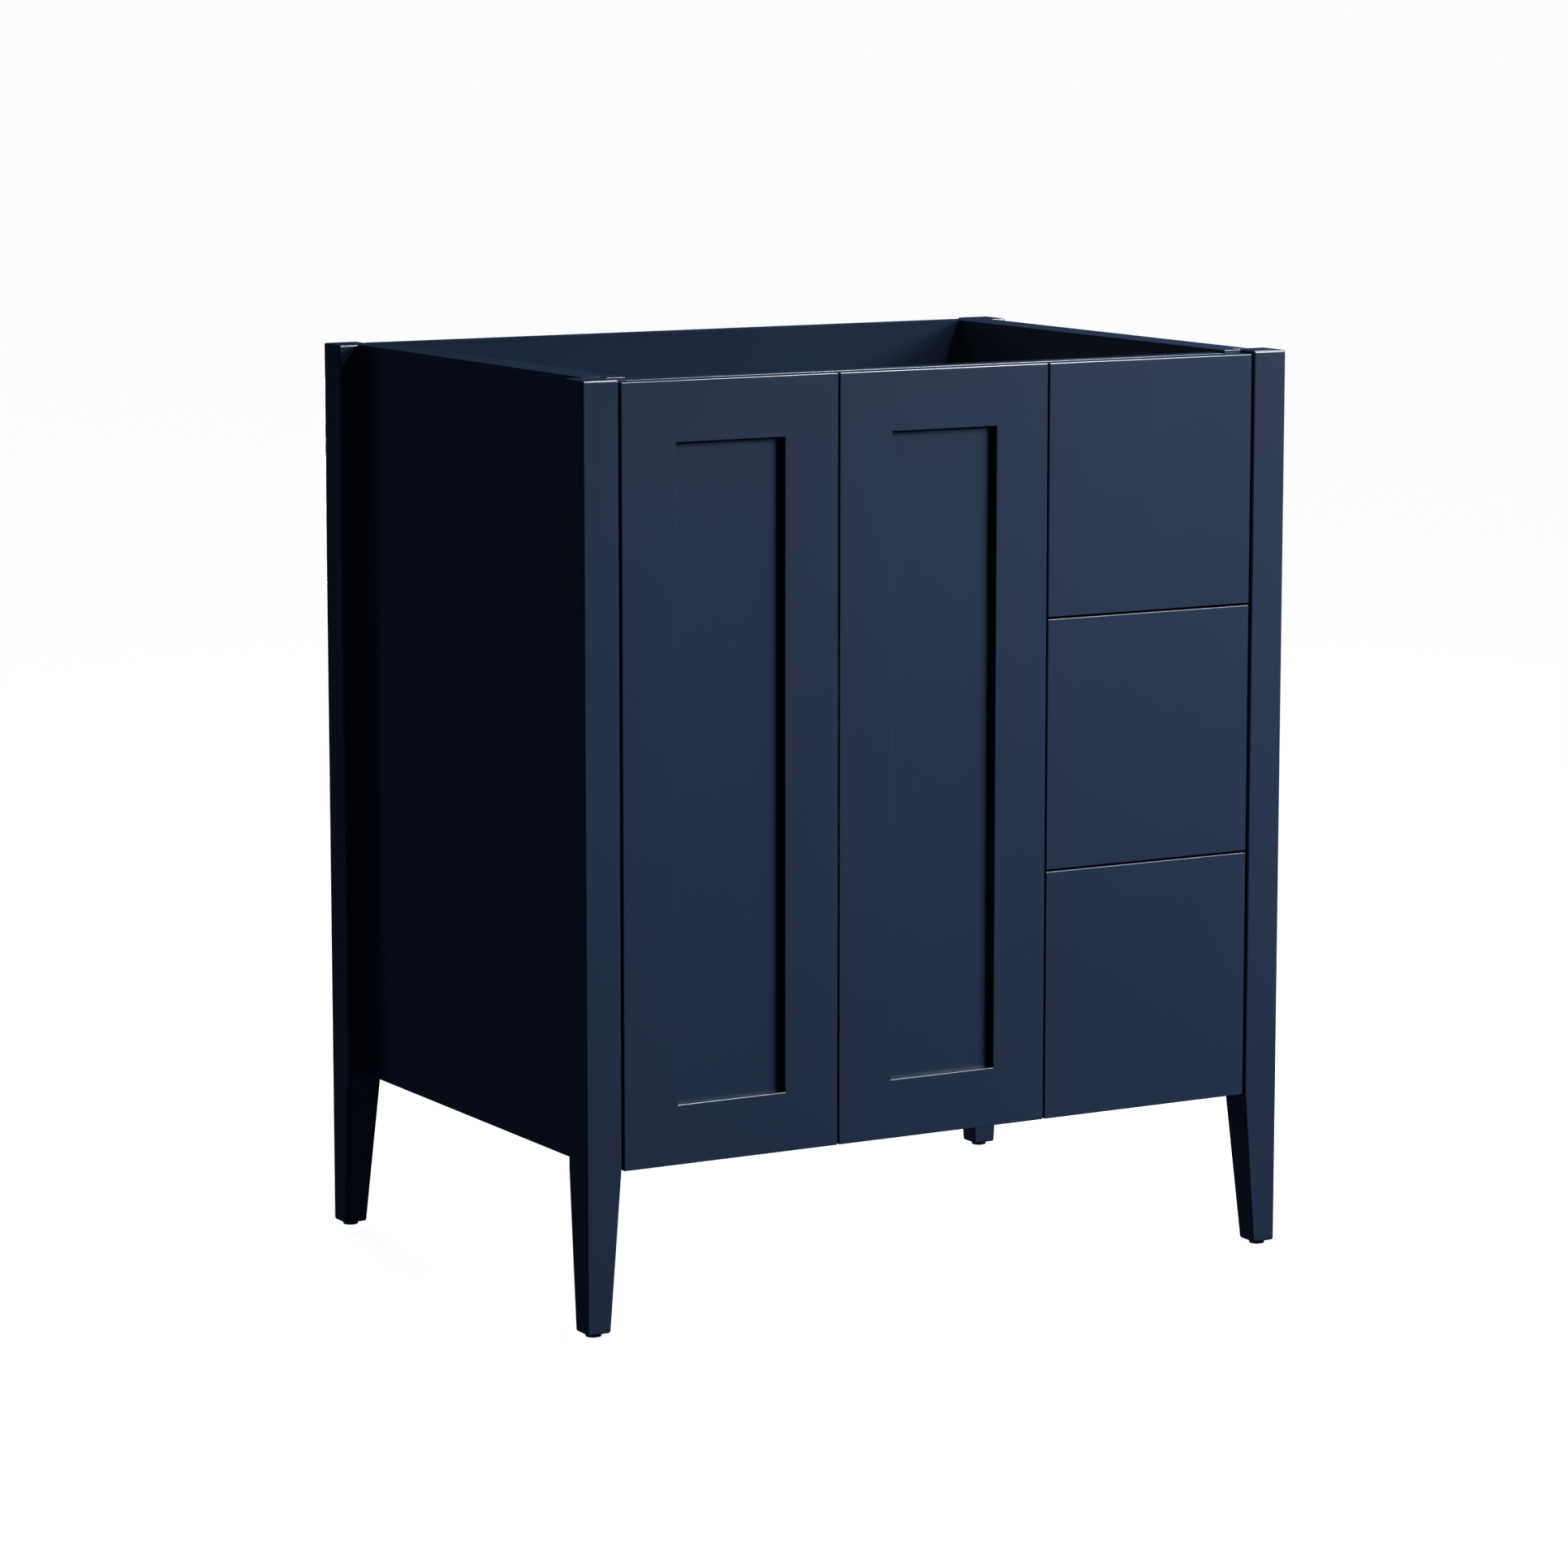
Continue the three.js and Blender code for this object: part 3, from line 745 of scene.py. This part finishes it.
def bumpers(name, body, places, back):
    """Soft dots on a door's or drawer front's back, which meet the carcass."""
    shape = bmesh.new()
    profile = ((1.0, 0.0), (1.0, 0.25), (0.94, 0.5), (0.78, 0.78), (0.5, 0.95), (0.15, 1.0))
    for x, z in places:
        rings = []
        for r, lift in profile:
            reach = BUMPER_RADIUS * r
            y = back + BUMPER_HEIGHT * lift
            rings.append([(x + reach * a, y, z + reach * b) for a, b in circle(BUMPER_SIDES)])
        solid_bits(shape, [loft(rings)])
    shown(shape, name, BUMPER, "clear_bumper", body)


def all_bumpers():
    rail = middle("front_rail")[Z]
    board = middle("cabinet_floor")[Z]
    for door, stile, end in (("left_door", "right_stile", 1), ("right_door", "left_stile", 0)):
        low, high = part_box(f"{door}_{stile}")
        edge = (low, high)[end][X]
        x = edge - (1 if end else -1) * BUMPER_INSET
        bumpers(f"{door}_bumpers", door, [(x, rail), (x, board)], high[Y])
    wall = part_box("partition")[1][X]
    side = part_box("right_side_panel")[0][X]
    for drawer in DRAWERS:
        low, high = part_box(f"{drawer}_front")
        places = [
            (x, z) for x in (wall - BUMPER_RADIUS, side + 2 * BUMPER_RADIUS)
            for z in (low[Z] + BUMPER_END, high[Z] - BUMPER_END)
        ]
        bumpers(f"{drawer}_bumpers", drawer, places, high[Y])


def box_screws(drawer):
    """Screws through the drawer's sides into its back."""
    places = []
    z = middle(f"{drawer}_left_side")[Z]
    y = middle(f"{drawer}_back")[Y]
    for side, corner, outward in (("left", 0, -1), ("right", 1, 1)):
        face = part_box(f"{drawer}_{side}_side")[corner][X]
        for step in (-BOX_SCREW_REACH, BOX_SCREW_REACH):
            places.append(((face, y, z + step), (outward, 0, 0)))
    screws(f"{drawer}_box_screws", drawer, ZINC, "zinc_steel", BOX_SCREW, places)


def back_screws():
    """Screws that hold the back panel to the side panels, the partition and the floor."""
    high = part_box("back_panel")[1]
    edge = (high[X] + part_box("right_side_panel")[0][X]) / 2
    post = middle("partition")[X]
    board = middle("cabinet_floor")[Z]
    rise = high[Z] - BACK_SCREW_END - board
    levels = [board + rise * k / BACK_STEPS for k in range(BACK_STEPS + 1)]
    places = [(x, z) for x in (-edge, edge) for z in levels]
    places += [(post, z) for z in levels[1:-1]]
    places += [(x, board) for x in FLOOR_SCREWS]
    out = [((x, high[Y], z), (0, 1, 0)) for x, z in places]
    screws("back_panel_screws", "root", ZINC, "zinc_steel", BACK_SCREW, out)


def hardware():
    for drawer in DRAWERS:
        for side in SIDES:
            for member in ("cabinet", "drawer"):
                node = f"{drawer}_{side}_{member}_slide"
                remade(node, ZINC, "zinc_steel", STEEL_EDGE, segments=2)
            slide_details(drawer, side)
        box_screws(drawer)
    for door in DOORS:
        hinge_details(door)
    for corner in CORNERS:
        remade(f"{corner}_glide", PLASTIC, "black_plastic", STEEL_EDGE * 2, segments=2)
    all_bumpers()
    back_screws()


painted_pieces()
drawer_boxes()
hardware()


# ---- Stage, lights and camera ----

def floor():
    """A plain pale floor that takes shadows. It isn't seen in reflections or as bounced light."""
    material, _, shader = new_material("studio_floor")
    shader.inputs["Base Color"].default_value = (0.35, 0.35, 0.35, 1)
    shader.inputs["Roughness"].default_value = 0.9
    shader.inputs["Specular IOR Level"].default_value = 0.0
    shader.inputs["Emission Color"].default_value = (1, 1, 1, 1)
    shader.inputs["Emission Strength"].default_value = 0.97
    shape = bmesh.new()
    bmesh.ops.create_circle(shape, cap_ends=True, segments=96, radius=40)
    mesh = bpy.data.meshes.new("studio_floor")
    shape.to_mesh(mesh)
    shape.free()
    mesh.materials.append(material)
    ground = bpy.data.objects.new("studio_floor", mesh)
    bpy.context.scene.collection.objects.link(ground)
    ground.location.z = -FLOOR_DROP
    ground.visible_diffuse = False
    ground.visible_glossy = False


def surroundings():
    """A white studio for the camera and a dim one for everything else."""
    world = bpy.data.worlds.new("studio")
    bpy.context.scene.world = world
    world.use_nodes = True
    tree = world.node_tree
    tree.nodes.clear()
    output = tree.nodes.new("ShaderNodeOutputWorld")
    seen = tree.nodes.new("ShaderNodeBackground")
    seen.inputs["Color"].default_value = (0.98, 0.98, 0.98, 1)
    ambient = tree.nodes.new("ShaderNodeBackground")
    ambient.inputs["Color"].default_value = (0.0175, 0.025, 0.046, 1)
    path = tree.nodes.new("ShaderNodeLightPath")
    mix = tree.nodes.new("ShaderNodeMixShader")
    tree.links.new(path.outputs["Is Camera Ray"], mix.inputs["Fac"])
    tree.links.new(ambient.outputs["Background"], mix.inputs[1])
    tree.links.new(seen.outputs["Background"], mix.inputs[2])
    tree.links.new(mix.outputs["Shader"], output.inputs["Surface"])


def softbox(name, place, target, size, power, beam, diffuse):
    light = bpy.data.lights.new(name, "AREA")
    light.shape = "RECTANGLE"
    light.size, light.size_y = size
    light.energy = power
    light.spread = math.radians(beam)
    lamp = bpy.data.objects.new(name, light)
    bpy.context.scene.collection.objects.link(lamp)
    lamp.location = place
    lamp.rotation_mode = "QUATERNION"
    lamp.rotation_quaternion = (Vector(target) - Vector(place)).to_track_quat("-Z", "Y")
    lamp.visible_camera = False
    lamp.visible_diffuse = diffuse


def flag():
    """A card that shades the cabinet's open inside from the key light. It is never seen itself."""
    (left, right), (low, high) = FLAG_ACROSS, FLAG_UP
    shape = bmesh.new()
    corners = ((left, low), (right, low), (right, high), (left, high))
    shape.faces.new([shape.verts.new((x, FLAG_PLACE, z)) for x, z in corners])
    mesh = bpy.data.meshes.new("flag")
    shape.to_mesh(mesh)
    shape.free()
    card = bpy.data.objects.new("flag", mesh)
    bpy.context.scene.collection.objects.link(card)
    card.visible_camera = False
    card.visible_diffuse = False
    card.visible_glossy = False
    card.visible_transmission = False


def camera():
    data = bpy.data.cameras.new("camera")
    data.sensor_width = 36
    data.lens = CAMERA_LENS
    data.clip_start, data.clip_end = 0.1, 100
    eye = bpy.data.objects.new("camera", data)
    bpy.context.scene.collection.objects.link(eye)
    eye.location = CAMERA_PLACE
    eye.rotation_euler = (math.radians(90 - CAMERA_DOWN), 0, math.radians(CAMERA_TURN))
    bpy.context.scene.camera = eye


def studio():
    floor()
    surroundings()
    for light in LIGHTS:
        softbox(*light)
    flag()
    scene = bpy.context.scene
    scene.view_settings.view_transform = "Standard"
    scene.view_settings.look = "None"
    camera()


studio()
